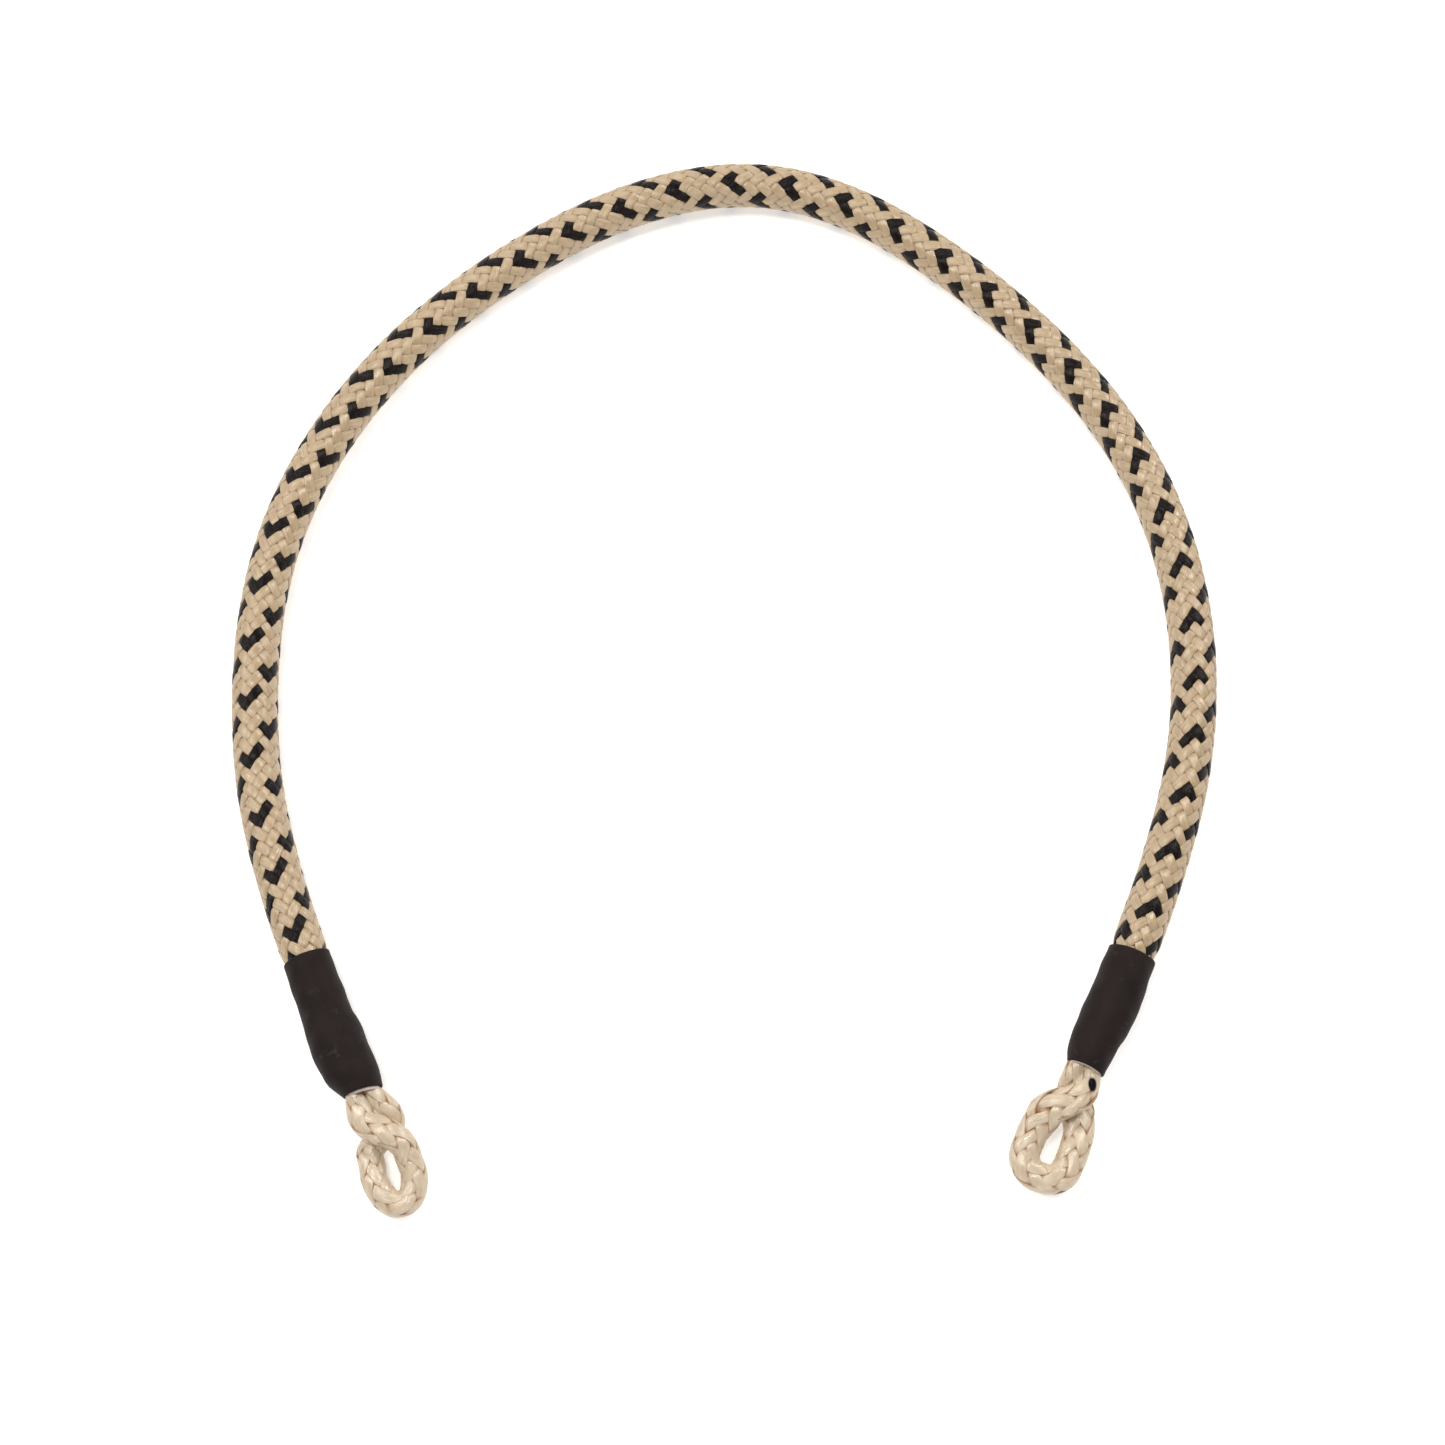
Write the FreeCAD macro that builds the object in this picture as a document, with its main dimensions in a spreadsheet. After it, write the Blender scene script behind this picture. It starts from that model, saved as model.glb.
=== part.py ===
"""Rope noseband with an eye at each end, for bitless bridles and rope halters.

A double-braid rope lies flat in an arch.  At each end its core comes out of the cover, makes an
eye and is buried back into itself; a whipping, an adhesive liner and a shrink sleeve close the
join.  Millimetres, +Z up, resting on Z = 0, origin under the middle of the outline.

The rope bends everywhere.  Here it bends at the crown and at the two necks of the eyes, so the
cover and the core are each made as a left and a right half that meet at a ball-shaped joint.
"""
import FreeCAD, Part
import math
import os
import re
import Sketcher
from FreeCAD import Placement, Rotation, Vector

SIDES = ("left", "right")

# alias, value, what it is
SIZES = [
    ("rope_diameter", 8.0, "outside of the cover"),
    ("core_diameter", 4.8, "core braid, which fills the bore of the cover"),
    ("squeezed_wall", 0.95, "wall of the cover where the shrink sleeve grips it"),
    ("squeeze_taper", 3.0, "length over which the cover swells back to its full size"),
    ("sleeve_wall", 0.5, "shrink sleeve"),
    ("liner_wall", 0.35, "adhesive liner inside the sleeve"),
    ("liner_rim", 0.6, "liner pressed out of the sleeve's mouth"),
    ("mouth_gap", 0.05, "between the core and the liner"),
    ("left_sleeve_length", 24.6, "left shrink sleeve"),
    ("right_sleeve_length", 21.0, "right shrink sleeve"),
    ("left_whipping_wall", 1.6, "thread wound on the left neck"),
    ("right_whipping_wall", 1.25, "thread wound on the right neck"),
    ("left_whipping_start", 3.0, "from the left sleeve's mouth to the first turn"),
    ("right_whipping_start", 7.5, "from the right sleeve's mouth to the first turn"),
    ("left_whipping_full", 8.0, "length of the left whipping at its full thickness"),
    ("right_whipping_full", 6.0, "length of the right whipping at its full thickness"),
    ("whipping_taper", 3.5, "length over which a whipping narrows to the cover"),
    ("tail_start", 1.0, "from the sleeve's mouth to the buried tail"),
    ("tail_length", 18.0, "buried tail"),
    ("tail_big_diameter", 2.4, "buried tail at its root"),
    ("tail_small_diameter", 1.0, "buried tail at its end"),
    ("stitch_diameter", 0.5, "lock-stitch thread"),
    ("stitch_pitch", 3.0, "between two stitches"),
    ("stitch_start", 4.5, "from the sleeve's mouth to the first stitch"),
    ("neck_length", 2.5, "from the sleeve's mouth to the pivot of the eye"),
    ("joint_gap", 0.4, "clearance of each bending joint"),
    ("left_cord_width", 4.5, "cord of the left eye, across the eye"),
    ("left_cord_thickness", 4.4, "cord of the left eye, through the eye"),
    ("right_cord_width", 5.2, "cord of the right eye, across the eye"),
    ("right_cord_thickness", 3.9, "cord of the right eye, through the eye"),
    ("left_eye_reach", 19.3, "pivot to the far end of the left eye"),
    ("right_eye_reach", 19.3, "pivot to the far end of the right eye"),
    ("left_eye_hole", 2.0, "width of the left eye's hole"),
    ("right_eye_hole", 3.0, "width of the right eye's hole"),
    ("left_shoulder", 7.0, "pivot to the shoulder of the left eye"),
    ("right_shoulder", 6.0, "pivot to the shoulder of the right eye"),
    ("left_eye_yaw", -69.0, "direction of the left eye on the floor, degrees"),
    ("right_eye_yaw", -111.3, "direction of the right eye on the floor, degrees"),
]

# The rope's centre line on the floor, from the left mouth over the crown to the right mouth.
ROUTE = [(-60.0, -76.5), (-78.5, -40.0), (-83.5, 5.0), (-75.0, 37.5), (-53.0, 67.0), (-16.5, 91.5),
         (16.5, 94.0), (51.0, 69.5), (75.5, 38.0), (83.5, 1.5), (76.5, -37.5), (59.5, -72.5)]
CROWN = 5                # the run after this point holds the crown joint at its middle
ARC_SHARE = 0.45         # of the shorter run beside a corner
STRAIGHT_SPARE = 1.0     # straight rope past a sleeve and its taper
STITCHES = 3
DRAFT_CENTRE, DRAFT_RADIUS = 10, 3      # where a sketch's corners stand until its sizes move them
UP = Vector(0, 0, 1)

doc = FreeCAD.newDocument("rope_noseband")
sheet = doc.addObject("Spreadsheet::Sheet", "sizes")
for row, (alias, value, note) in enumerate(SIZES, start=1):
    sheet.set(f"A{row}", note)
    sheet.set(f"B{row}", str(value))
    sheet.setAlias(f"B{row}", alias)
doc.recompute()


def size(alias):
    """Value of a cell, for the shapes and places that no expression can drive."""
    return float(sheet.get(alias))


def add(kind, name, **values):
    """New object; a text value is an expression in the sheet's aliases, others are set as they are."""
    item = doc.addObject(kind, name)
    for key, value in values.items():
        if isinstance(value, str):
            item.setExpression(key, value)
        else:
            setattr(item, key, value)
    return item


def cell(formula, side=""):
    """Expression text: each alias of the formula gets the sheet's name, SIDE_ means this side's."""
    aliases = "|".join(alias for alias, _, _ in SIZES)
    return re.sub(rf"\b({aliases})\b", r"sizes.\1", formula.replace("SIDE_", f"{side}_"))


# Radii that several pieces share, as formulas.
CORE = "core_diameter / 2"
SQUEEZED = f"({CORE} + squeezed_wall)"
WOUND = f"({CORE} + SIDE_whipping_wall)"
MOUTH = f"({CORE} + mouth_gap)"
WHIPPED = "(SIDE_whipping_start + SIDE_whipping_full)"
COVER_END = f"({WHIPPED} + whipping_taper)"


def ring_body(name, side, outline):
    """PartDesign body: the outline, pairs of (radius, height) formulas, turned about Z."""
    body = doc.addObject("PartDesign::Body", name)
    sketch = body.newObject("Sketcher::SketchObject", f"{name}_outline")
    plane = next(item for item in body.Origin.OriginFeatures if item.Role == "XZ_Plane")
    sketch.AttachmentSupport = [(plane, "")]
    sketch.MapMode = "FlatFace"
    count = len(outline)
    turns = [2 * math.pi * number / count for number in range(count)]
    draft = [Vector(DRAFT_CENTRE + DRAFT_RADIUS * math.cos(turn),
                    DRAFT_CENTRE + DRAFT_RADIUS * math.sin(turn), 0) for turn in turns]
    for number in range(count):
        sketch.addGeometry(Part.LineSegment(draft[number], draft[(number + 1) % count]), False)
    for number in range(count):
        sketch.addConstraint(Sketcher.Constraint("Coincident", number, 2, (number + 1) % count, 1))
    for number, (radius, height) in enumerate(outline):
        for kind, formula, value in (("DistanceX", radius, draft[number].x),
                                     ("DistanceY", height, draft[number].y)):
            index = sketch.addConstraint(Sketcher.Constraint(kind, -1, 1, number, 1, value))
            sketch.setExpression(f"Constraints[{index}]", cell(formula, side))
    turned = body.newObject("PartDesign::Revolution", f"{name}_turned")
    turned.Profile = sketch
    turned.ReferenceAxis = (sketch, ["V_Axis"])
    turned.Angle = 360
    sketch.Visibility = False
    return body


def route_points():
    """The route in space: the rope lies on the floor and rises to clear each sleeve's belly."""
    rest = size("rope_diameter") / 2
    points = [Vector(x, y, rest) for x, y in ROUTE]
    for side, tip, neighbour in (("left", 0, 1), ("right", -1, -2)):
        belly = (size("core_diameter") / 2 + size(f"{side}_whipping_wall")
                 + size("liner_wall") + size("sleeve_wall"))
        along = size(f"{side}_whipping_start") + size(f"{side}_whipping_full") / 2
        share = along / points[tip].distanceToPoint(points[neighbour])
        points[tip].z = (belly - rest * share) / (1 - share)
    return points


def half_route(points, straight, start):
    """Wire from a place on the first run to the middle of the last one, corners rounded by arcs.

    points runs from a mouth to the far end of the crown run; straight is the length of the first
    run that stays straight at least; start is where the wire begins on it, negative before points[0].
    """
    first = (points[1] - points[0]).normalize()
    here = points[0] + first * start
    edges = []
    for number in range(1, len(points) - 1):
        before, corner, after = points[number - 1:number + 2]
        back, ahead = before - corner, after - corner
        reach = ARC_SHARE * min(back.Length, ahead.Length)
        if number == 1:
            reach = min(reach, back.Length - straight - STRAIGHT_SPARE)
        back.normalize()
        ahead.normalize()
        half_turn = (math.pi - back.getAngle(ahead)) / 2
        radius = reach / math.tan(half_turn)
        inward = (back + ahead).normalize()
        middle = corner + inward * (radius / math.cos(half_turn) - radius)
        edges.append(Part.LineSegment(here, corner + back * reach).toShape())
        edges.append(Part.Arc(corner + back * reach, middle, corner + ahead * reach).toShape())
        here = corner + ahead * reach
    edges.append(Part.LineSegment(here, (points[-2] + points[-1]) / 2).toShape())
    return Part.Wire(edges)


def sweep(name, wire, section, roll=0):
    """Solid swept by a section object along a wire; the section is turned square to its start.

    roll turns the section about the wire, in degrees.
    """
    wires[name] = wire
    path = doc.addObject("Part::Feature", f"{name}_path")
    path.Shape = wire
    tangent = wire.Edges[0].tangentAt(wire.Edges[0].FirstParameter)
    section.Placement = Placement(wire.Edges[0].Vertexes[0].Point, facing(tangent) * Rotation(UP, roll))
    swept = doc.addObject("Part::Sweep", name)
    swept.Sections = [section]
    swept.Spine = (path, [f"Edge{number + 1}" for number in range(len(wire.Edges))])
    swept.Solid = True
    swept.Frenet = False
    return swept


def facing(direction):
    """Rotation that turns local Z to a direction and keeps local X level."""
    level = UP.cross(direction)
    return Rotation(level, direction.cross(level), direction, "ZXY")


def cut(name, base, tool):
    return add("Part::Cut", name, Base=base, Tool=tool)


def fuse(name, *pieces):
    return add("Part::MultiFuse", name, Shapes=list(pieces), Refine=False)


def make_end(side, mouth):
    """Sleeve, liner, whipping and stitches of one end, stood on the mouth with Z up the rope."""
    made = {
        "sleeve": ring_body(f"{side}_sleeve", side, [
            (f"{MOUTH} + liner_wall + sleeve_wall", "0"),
            (f"{WOUND} + liner_wall + sleeve_wall", "SIDE_whipping_start"),
            (f"{WOUND} + liner_wall + sleeve_wall", WHIPPED),
            (f"{SQUEEZED} + liner_wall + sleeve_wall", COVER_END),
            (f"{SQUEEZED} + liner_wall + sleeve_wall", "SIDE_sleeve_length"),
            (f"{SQUEEZED} + liner_wall", "SIDE_sleeve_length"),
            (f"{SQUEEZED} + liner_wall", COVER_END),
            (f"{WOUND} + liner_wall", WHIPPED),
            (f"{WOUND} + liner_wall", "SIDE_whipping_start"),
            (f"{MOUTH} + liner_wall", "0")]),
        "liner": ring_body(f"{side}_liner", side, [
            (f"{MOUTH} + liner_wall", "-liner_rim"),
            (f"{MOUTH} + liner_wall", "0"),
            (f"{WOUND} + liner_wall", "SIDE_whipping_start"),
            (f"{WOUND} + liner_wall", WHIPPED),
            (f"{SQUEEZED} + liner_wall", COVER_END),
            (f"{SQUEEZED} + liner_wall", "SIDE_sleeve_length"),
            (SQUEEZED, "SIDE_sleeve_length"),
            (SQUEEZED, COVER_END),
            (WOUND, WHIPPED),
            (WOUND, "SIDE_whipping_start"),
            (MOUTH, "0"),
            (MOUTH, "-liner_rim")]),
        "whipping": ring_body(f"{side}_whipping", side, [
            (CORE, "SIDE_whipping_start"),
            (WOUND, "SIDE_whipping_start"),
            (WOUND, WHIPPED),
            (SQUEEZED, COVER_END),
            (CORE, COVER_END)]),
        "cover_end": ring_body(f"{side}_cover_end", side, [
            (CORE, COVER_END),
            (SQUEEZED, COVER_END),
            (SQUEEZED, "SIDE_sleeve_length"),
            ("rope_diameter / 2", "SIDE_sleeve_length + squeeze_taper"),
            (CORE, "SIDE_sleeve_length + squeeze_taper")]),
        "tail": add("Part::Cone", f"{side}_tail", Radius1=cell("tail_big_diameter / 2"),
                    Radius2=cell("tail_small_diameter / 2"), Height=cell("tail_length")),
    }
    for piece in made.values():
        piece.Placement = mouth
    made["tail"].Placement = mouth * Placement(Vector(0, 0, size("tail_start")), Rotation())
    stitches = []
    for number in range(STITCHES):
        stitch = add("Part::Cylinder", f"{side}_stitch_{number + 1}",
                     Radius=cell("stitch_diameter / 2"), Height=cell("core_diameter"))
        height = size("stitch_start") + number * size("stitch_pitch")
        level = Placement(Vector(-size("core_diameter") / 2, 0, height), Rotation(Vector(0, 1, 0), 90))
        stitch.Placement = mouth * level
        stitches.append(stitch)
    made["stitches"] = add("Part::Compound", f"{side}_stitches", Links=stitches)
    return made


def make_eye(side, ball):
    """Teardrop loop of the core cord, lying on the floor, its neck hollowed for the ball."""
    pivot = ball.Placement.Base
    width, thick = size(f"{side}_cord_width"), size(f"{side}_cord_thickness")
    half = (size(f"{side}_eye_hole") + width) / 2
    reach = size(f"{side}_eye_reach") - width / 2
    shoulder = size(f"{side}_shoulder")
    loop = []
    for sign in (1, -1):
        points = [Vector(0, 0, 0), Vector(shoulder, sign * half, 0), Vector(reach, sign * half, 0),
                  Vector(reach, -sign * half, 0)]
        section = add("Part::Ellipse", f"{side}_eye_section_{sign + 2}",
                      MajorRadius=cell("max(SIDE_cord_width; SIDE_cord_thickness) / 2", side),
                      MinorRadius=cell("min(SIDE_cord_width; SIDE_cord_thickness) / 2", side))
        loop.append(sweep(f"{side}_eye_leg_{sign + 2}", half_route(points, 0, 0), section,
                          roll=90 if thick > width else 0))
    drop = math.asin((pivot.z - thick / 2) / reach)
    yaw = math.radians(size(f"{side}_eye_yaw"))
    ahead = Vector(math.cos(yaw) * math.cos(drop), math.sin(yaw) * math.cos(drop), -math.sin(drop))
    across = UP.cross(ahead).normalize()
    lying = Placement(pivot, Rotation(ahead, across, ahead.cross(across), "XZY"))
    solid = fuse(f"{side}_eye_loop", *loop)
    solid.Placement = lying
    socket = add("Part::Sphere", f"{side}_eye_socket",
                 Radius=cell(f"max({CORE}; SIDE_cord_width / 2) + joint_gap", side))
    socket.Placement = ball.Placement
    return cut(f"{side}_eye", solid, socket)


def make_half(side, points, nodes):
    """Everything on one side of the crown joint."""
    up = (points[1] - points[0]).normalize()
    mouth = Placement(points[0], facing(up))
    crown = (points[-2] + points[-1]) / 2
    lip = size(f"{side}_sleeve_length") + size("squeeze_taper")
    made = make_end(side, mouth)

    outside = add("Part::Circle", f"{side}_cover_section", Radius=cell("rope_diameter / 2"))
    bore = add("Part::Circle", f"{side}_bore_section", Radius=cell(CORE))
    middle = add("Part::Circle", f"{side}_core_section", Radius=cell(CORE))
    cover_wire = half_route(points, lip, lip)
    skin = sweep(f"{side}_cover_skin", cover_wire, outside)
    hollow = sweep(f"{side}_cover_bore", cover_wire, bore)
    filled = sweep(f"{side}_core_cord", half_route(points, lip, -size("neck_length")), middle)

    ball = add("Part::Sphere", f"{side}_neck_ball", Radius=cell(CORE))
    ball.Placement = Placement(points[0] - up * size("neck_length"), Rotation())
    core = cut(f"{side}_core_bored", fuse(f"{side}_core_balled", filled, ball), made["tail"])
    if side == "left":
        knuckle = add("Part::Sphere", "crown_ball", Radius=cell("rope_diameter / 2"))
        knuckle.Placement = Placement(crown, Rotation())
        skin = fuse("left_cover_balled", skin, knuckle)
        tube = cut("left_cover_tube", skin, hollow)
    else:
        tube = cut("right_cover_tube", skin, hollow)
        socket = add("Part::Sphere", "crown_socket", Radius=cell("rope_diameter / 2 + joint_gap"))
        socket.Placement = Placement(crown, Rotation())
        tube = cut("right_cover_socket", tube, socket)
        core = cut("right_core_socket", core, socket)
    nodes[f"{side}_cover"] = fuse(f"{side}_cover_whole", tube, made["cover_end"])
    nodes[f"{side}_core"] = core
    for piece in ("sleeve", "liner", "whipping", "tail", "stitches"):
        nodes[f"{side}_{piece}"] = made[piece]
    nodes[f"{side}_eye"] = make_eye(side, ball)


wires = {}
parts = {}
whole = route_points()
halves = {"left": whole[:CROWN + 2], "right": whole[:CROWN - 1:-1]}
for side in SIDES:
    make_half(side, halves[side], parts)

for label, item in parts.items():
    item.Label = label
doc.recompute()

for item in doc.Objects:
    if "Invalid" in item.State or "Error" in item.State:
        raise RuntimeError(f"{item.Name} failed: {item.State}")
for label, item in parts.items():
    if item.Shape.isNull() or not item.Shape.isValid():
        raise RuntimeError(f"{label} has no valid shape")

os.makedirs("parts", exist_ok=True)
for label, item in parts.items():
    item.Shape.exportStep(f"parts/{label}.step")
    print(f"{label}: {item.Shape.Volume:.1f} mm3, {len(item.Shape.Solids)} solid(s)")
for label, wire in wires.items():
    bends = [edge.Curve.Radius for edge in wire.Edges if edge.Curve.TypeId == "Part::GeomCircle"]
    print(f"{label}: {wire.Length:.1f} mm long, bend radii", ", ".join(f"{bend:.1f}" for bend in bends))
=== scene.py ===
"""Rope noseband: braided cover, spliced eyes and shrink sleeves, built around its CAD frame.

Run as a script.  Every piece is a surface worked out as whole arrays and placed in metres in the
frame's own coordinates, so each object sits at the origin.
"""
import math

import bmesh
import bpy
import numpy as np
from bpy.props import FloatProperty, FloatVectorProperty, IntProperty, PointerProperty
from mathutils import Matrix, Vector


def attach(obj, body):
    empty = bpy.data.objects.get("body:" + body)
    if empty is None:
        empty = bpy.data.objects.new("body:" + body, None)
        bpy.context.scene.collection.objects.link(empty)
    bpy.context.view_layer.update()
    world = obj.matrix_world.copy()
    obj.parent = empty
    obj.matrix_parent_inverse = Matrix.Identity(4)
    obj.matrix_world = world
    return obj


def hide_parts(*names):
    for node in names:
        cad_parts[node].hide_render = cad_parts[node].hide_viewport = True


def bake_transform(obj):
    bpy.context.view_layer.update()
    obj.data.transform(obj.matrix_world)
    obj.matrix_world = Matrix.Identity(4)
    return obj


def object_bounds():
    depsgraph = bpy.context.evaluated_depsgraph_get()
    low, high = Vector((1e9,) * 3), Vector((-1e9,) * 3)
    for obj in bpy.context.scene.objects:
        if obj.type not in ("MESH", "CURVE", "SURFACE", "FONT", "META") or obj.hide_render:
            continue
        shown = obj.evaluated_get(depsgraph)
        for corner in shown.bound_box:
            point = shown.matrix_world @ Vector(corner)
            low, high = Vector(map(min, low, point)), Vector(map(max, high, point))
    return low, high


bl_info = {
    "name": "Rope Noseband",
    "version": (1, 0, 0),
    "blender": (4, 5, 0),
    "location": "View3D > Sidebar > Noseband",
    "description": "Builds a braided rope noseband with shrink sleeves and spliced cord eyes",
    "category": "Add Mesh",
}

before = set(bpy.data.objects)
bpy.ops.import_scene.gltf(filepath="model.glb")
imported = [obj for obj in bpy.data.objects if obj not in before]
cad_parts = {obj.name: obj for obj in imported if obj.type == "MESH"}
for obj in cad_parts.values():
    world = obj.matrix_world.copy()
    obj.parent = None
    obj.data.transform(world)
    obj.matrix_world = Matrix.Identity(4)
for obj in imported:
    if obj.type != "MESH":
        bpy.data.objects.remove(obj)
CAD_BOX = [list(corner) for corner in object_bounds()]

CURVE_STEPS = 64  # points read from a spline between two of its control points

# The rope's route on the floor, from the left sleeve's mouth over the crown to the right one, in
# metres.  The height is that of a rope lying down, raised at both ends by the sleeve's belly.
ROUTE = [(-0.0600, -0.0765), (-0.0785, -0.0400), (-0.0835, 0.0050), (-0.0750, 0.0375),
         (-0.0530, 0.0670), (-0.0165, 0.0915), (0.0165, 0.0940), (0.0510, 0.0695),
         (0.0755, 0.0380), (0.0835, 0.0015), (0.0765, -0.0375), (0.0595, -0.0725)]
MOUTH_HEIGHT = {"left": 0.00503, "right": 0.00468}

# How far the braid has slipped towards the left sleeve, in metres, at places along the rope.
COVER_SLIP = [(0.028, 0.0006), (0.100, 0.0008), (0.212, 0.0), (0.246, -0.0012), (0.400, -0.0011)]

# How far the middle of the row of marks stands from the top towards the arch's inside, in degrees,
# at places along the rope: the cover is laid with a slow twist.
COVER_TWIST = [(0.0, 66), (0.030, 62), (0.062, 54), (0.104, 50), (0.120, 44), (0.152, 34),
               (0.173, 32), (0.195, 30), (0.216, 23), (0.262, 20), (0.300, 15), (0.340, 7), (0.430, -3)]

COVER_LIPS = {"left": 0.0246, "right": 0.0210}  # height of each sleeve's upper lip over its mouth
UNDER_SLEEVE = 0.008  # how far the cover runs on under each sleeve
GRIPPED_RADIUS = 0.0035  # of the cover inside a sleeve
COVER_DEPTH = 0.00115  # from the cover's outside to the core
MARK_LEAN = 52.5  # degrees from the braid's zero column to the middle of the row of marks
STRAIGHT_POINTS = 8  # points back along the rope that give the direction of its end


def linear(code):
    """Linear red, green and blue of an sRGB hex colour."""
    parts = [int(code[place:place + 2], 16) / 255 for place in (0, 2, 4)]
    return tuple(part / 12.92 if part <= 0.04045 else ((part + 0.055) / 1.055) ** 2.4 for part in parts)


def eased(places, table, window):
    """Straight lines through (place, value) pairs, with the corners rounded.

    Each value is the mean of nine read from the lines, spread evenly over a window's width.
    """
    known, levels = np.array(table, float).T
    spread = np.linspace(-window / 2, window / 2, 9)
    return np.interp(places[..., None] + spread, known, levels).mean(axis=-1)


# ---------------------------------------------------------------- settings

class CoverSettings(bpy.types.PropertyGroup):
    """Sizes and colours of the braided cover."""
    diameter: FloatProperty(name="Rope diameter", description="Outside of the cover",
                            default=0.008, unit="LENGTH")
    carriers: IntProperty(name="Threads each way", description="Flat threads in each direction", default=12)
    pitch: FloatProperty(name="Pitch", description="One thread to the next, along the rope",
                         default=0.002655, unit="LENGTH")
    first_mark: FloatProperty(name="First mark", description="Middle of a black mark, along the rope",
                              default=0.1094, unit="LENGTH")
    width: FloatProperty(name="Thread width", description="Flat width of a thread",
                         default=0.00178, unit="LENGTH")
    thickness: FloatProperty(name="Thread thickness", description="Thickness of a thread",
                             default=0.00042, unit="LENGTH")
    light: FloatVectorProperty(name="Light thread", description="Beige yarn", subtype="COLOR",
                               default=linear("B29A76"))
    dark: FloatVectorProperty(name="Dark thread", description="Black yarn", subtype="COLOR",
                              default=linear("110907"))


class EyeSettings(bpy.types.PropertyGroup):
    """Sizes and colours of the eyes and of the core that they are made from."""
    carriers: IntProperty(name="Threads each way", description="Flat threads in each direction", default=6)
    width: FloatProperty(name="Thread width", description="Flat width of a thread",
                         default=0.0021, unit="LENGTH")
    thickness: FloatProperty(name="Thread thickness", description="Thickness of a thread",
                             default=0.00044, unit="LENGTH")
    colour: FloatVectorProperty(name="Thread", description="Undyed yarn", subtype="COLOR",
                                default=linear("C8B79D"))
    ink: FloatVectorProperty(name="Ink", description="Marker dot on the right eye", subtype="COLOR",
                             default=linear("08040D"))


class SleeveSettings(bpy.types.PropertyGroup):
    """Sizes and colours of the shrink sleeves and their adhesive liners."""
    wall: FloatProperty(name="Wall", description="Wall of the sleeve", default=0.0005, unit="LENGTH")
    adhesive_wall: FloatProperty(name="Adhesive wall", description="Wall of the adhesive liner",
                                 default=0.00035, unit="LENGTH")
    colour: FloatVectorProperty(name="Sleeve", description="Shrunk tube", subtype="COLOR",
                                default=linear("211A1A"))
    adhesive: FloatVectorProperty(name="Adhesive", description="Set hot-melt", subtype="COLOR",
                                  default=linear("C9BDB4"))


class StageSettings(bpy.types.PropertyGroup):
    """Floor, lights and camera."""
    floor: FloatVectorProperty(name="Floor", description="Pale floor", subtype="COLOR",
                               default=linear("F4F4F4"))
    warmth: FloatVectorProperty(name="Light colour", description="Warm studio light", subtype="COLOR",
                                default=linear("FFF9F3"))
    glow: FloatProperty(name="Floor glow", description="Light that comes up through the floor", default=0.42)
    room: FloatProperty(name="Room light", description="Even light from all sides", default=0.30)
    tilt: FloatProperty(name="Camera tilt", description="Away from straight down",
                        default=math.radians(18), subtype="ANGLE")
    distance: FloatProperty(name="Camera distance", description="To the rope's plane",
                            default=0.4332, unit="LENGTH")
    lens: FloatProperty(name="Focal length", description="In millimetres", default=62.3)


# ---------------------------------------------------------------- centre lines

class Line:
    """A smooth line in space with a frame that stays level.

    The points are those of a clamped quadratic NURBS spline through the route's control points.
    At each place the frame is the tangent T, the level side vector N = T x up, and B = N x T.
    """

    def __init__(self, name, controls):
        curve = bpy.data.curves.new(name, "CURVE")
        curve.dimensions = "3D"
        curve.resolution_u = CURVE_STEPS
        spline = curve.splines.new("NURBS")
        spline.points.add(len(controls) - 1)
        spline.points.foreach_set("co", np.c_[np.array(controls), np.ones(len(controls))].ravel())
        spline.order_u = 3
        spline.use_endpoint_u = True
        holder = bpy.data.objects.new(name, curve)
        bpy.context.scene.collection.objects.link(holder)
        mesh = bpy.data.meshes.new_from_object(holder)
        points = np.zeros(len(mesh.vertices) * 3)
        mesh.vertices.foreach_get("co", points)
        self.points = points.reshape(-1, 3)
        bpy.data.objects.remove(holder)
        bpy.data.meshes.remove(mesh)
        bpy.data.curves.remove(curve)
        steps = np.linalg.norm(np.diff(self.points, axis=0), axis=1)
        self.places = np.r_[0, np.cumsum(steps)]
        self.length = self.places[-1]
        tangent = np.gradient(self.points, self.places, axis=0)
        self.tangent = tangent / np.linalg.norm(tangent, axis=1)[:, None]

    def at(self, places):
        """Point and frame (point, T, N, B) at an array of places along the line."""
        def read(rows):
            """Rows of one of the line's arrays, read between its points."""
            return np.stack([np.interp(places, self.places, rows[:, axis]) for axis in range(3)], -1)
        point, tangent = read(self.points), read(self.tangent)
        tangent /= np.linalg.norm(tangent, axis=-1)[..., None]
        side = np.cross(tangent, (0, 0, 1))
        side /= np.linalg.norm(side, axis=-1)[..., None]
        return point, tangent, side, np.cross(side, tangent)

    def part(self, start, end):
        """The line's own points between two places, with both ends."""
        inside = (self.places > start) & (self.places < end)
        ends = self.at(np.array([start, end]))[0]
        return np.vstack([ends[:1], self.points[inside], ends[1:]])


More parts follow.
